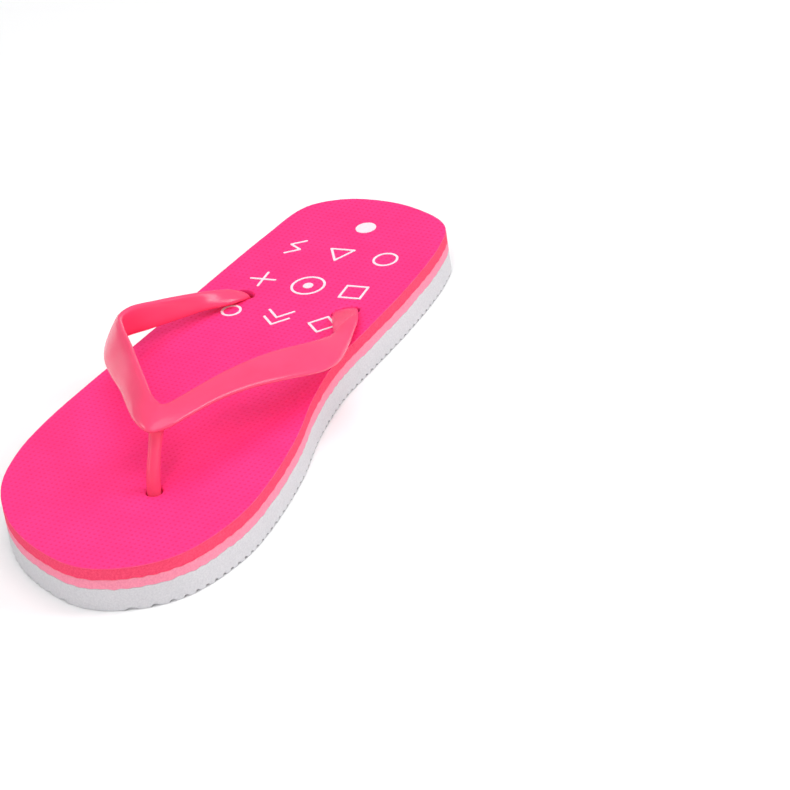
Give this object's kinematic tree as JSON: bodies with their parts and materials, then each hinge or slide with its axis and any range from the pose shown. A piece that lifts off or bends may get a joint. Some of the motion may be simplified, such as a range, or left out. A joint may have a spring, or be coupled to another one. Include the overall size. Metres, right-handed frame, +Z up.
{
  "type": "flip-flop",
  "caption": "Right-foot thong sandal: laminated foam sole with cross-ribbed tread and a moulded Y-strap whose toe post and arms end in mushroom plugs.",
  "frame": {"origin": "on the ground, halfway along the sole and on its long axis, at the tread's ground face", "axes": "+X from heel to toe, +Y towards the inner (big-toe) side, +Z up from the ground"},
  "size_m": [0.247, 0.0952, 0.0423],
  "materials": {
    "top_skin": "hot-pink embossed film, satin",
    "footbed_foam": "coral closed-cell foam, cut edge, matt",
    "midsole_foam": "light-pink closed-cell foam, cut edge, matt",
    "outsole_foam": "off-white closed-cell foam with ribbed tread, matt",
    "strap_pvc": "coral soft PVC, glossy moulded",
    "print_ink": "white screen-printed ink, matt"
  },
  "bodies": {
    "forefoot": {"top_skin_fore": "top_skin", "footbed_fore": "footbed_foam", "midsole_fore": "midsole_foam", "outsole_fore": "outsole_foam", "y_strap": "strap_pvc"},
    "heel": {"top_skin_heel": "top_skin", "footbed_heel": "footbed_foam", "midsole_heel": "midsole_foam", "outsole_heel": "outsole_foam", "heel_print": "print_ink"}
  },
  "joints": [
    {"name": "ball_flex", "type": "hinge", "parent": "forefoot", "child": "heel", "pos_m": [0.0415, 0, 0.0166], "axis": [0, 1, 0], "range_deg": [0, 35], "stiffness_Nm_per_rad": 1.4, "deforming": ["y_strap"]}
  ]
}
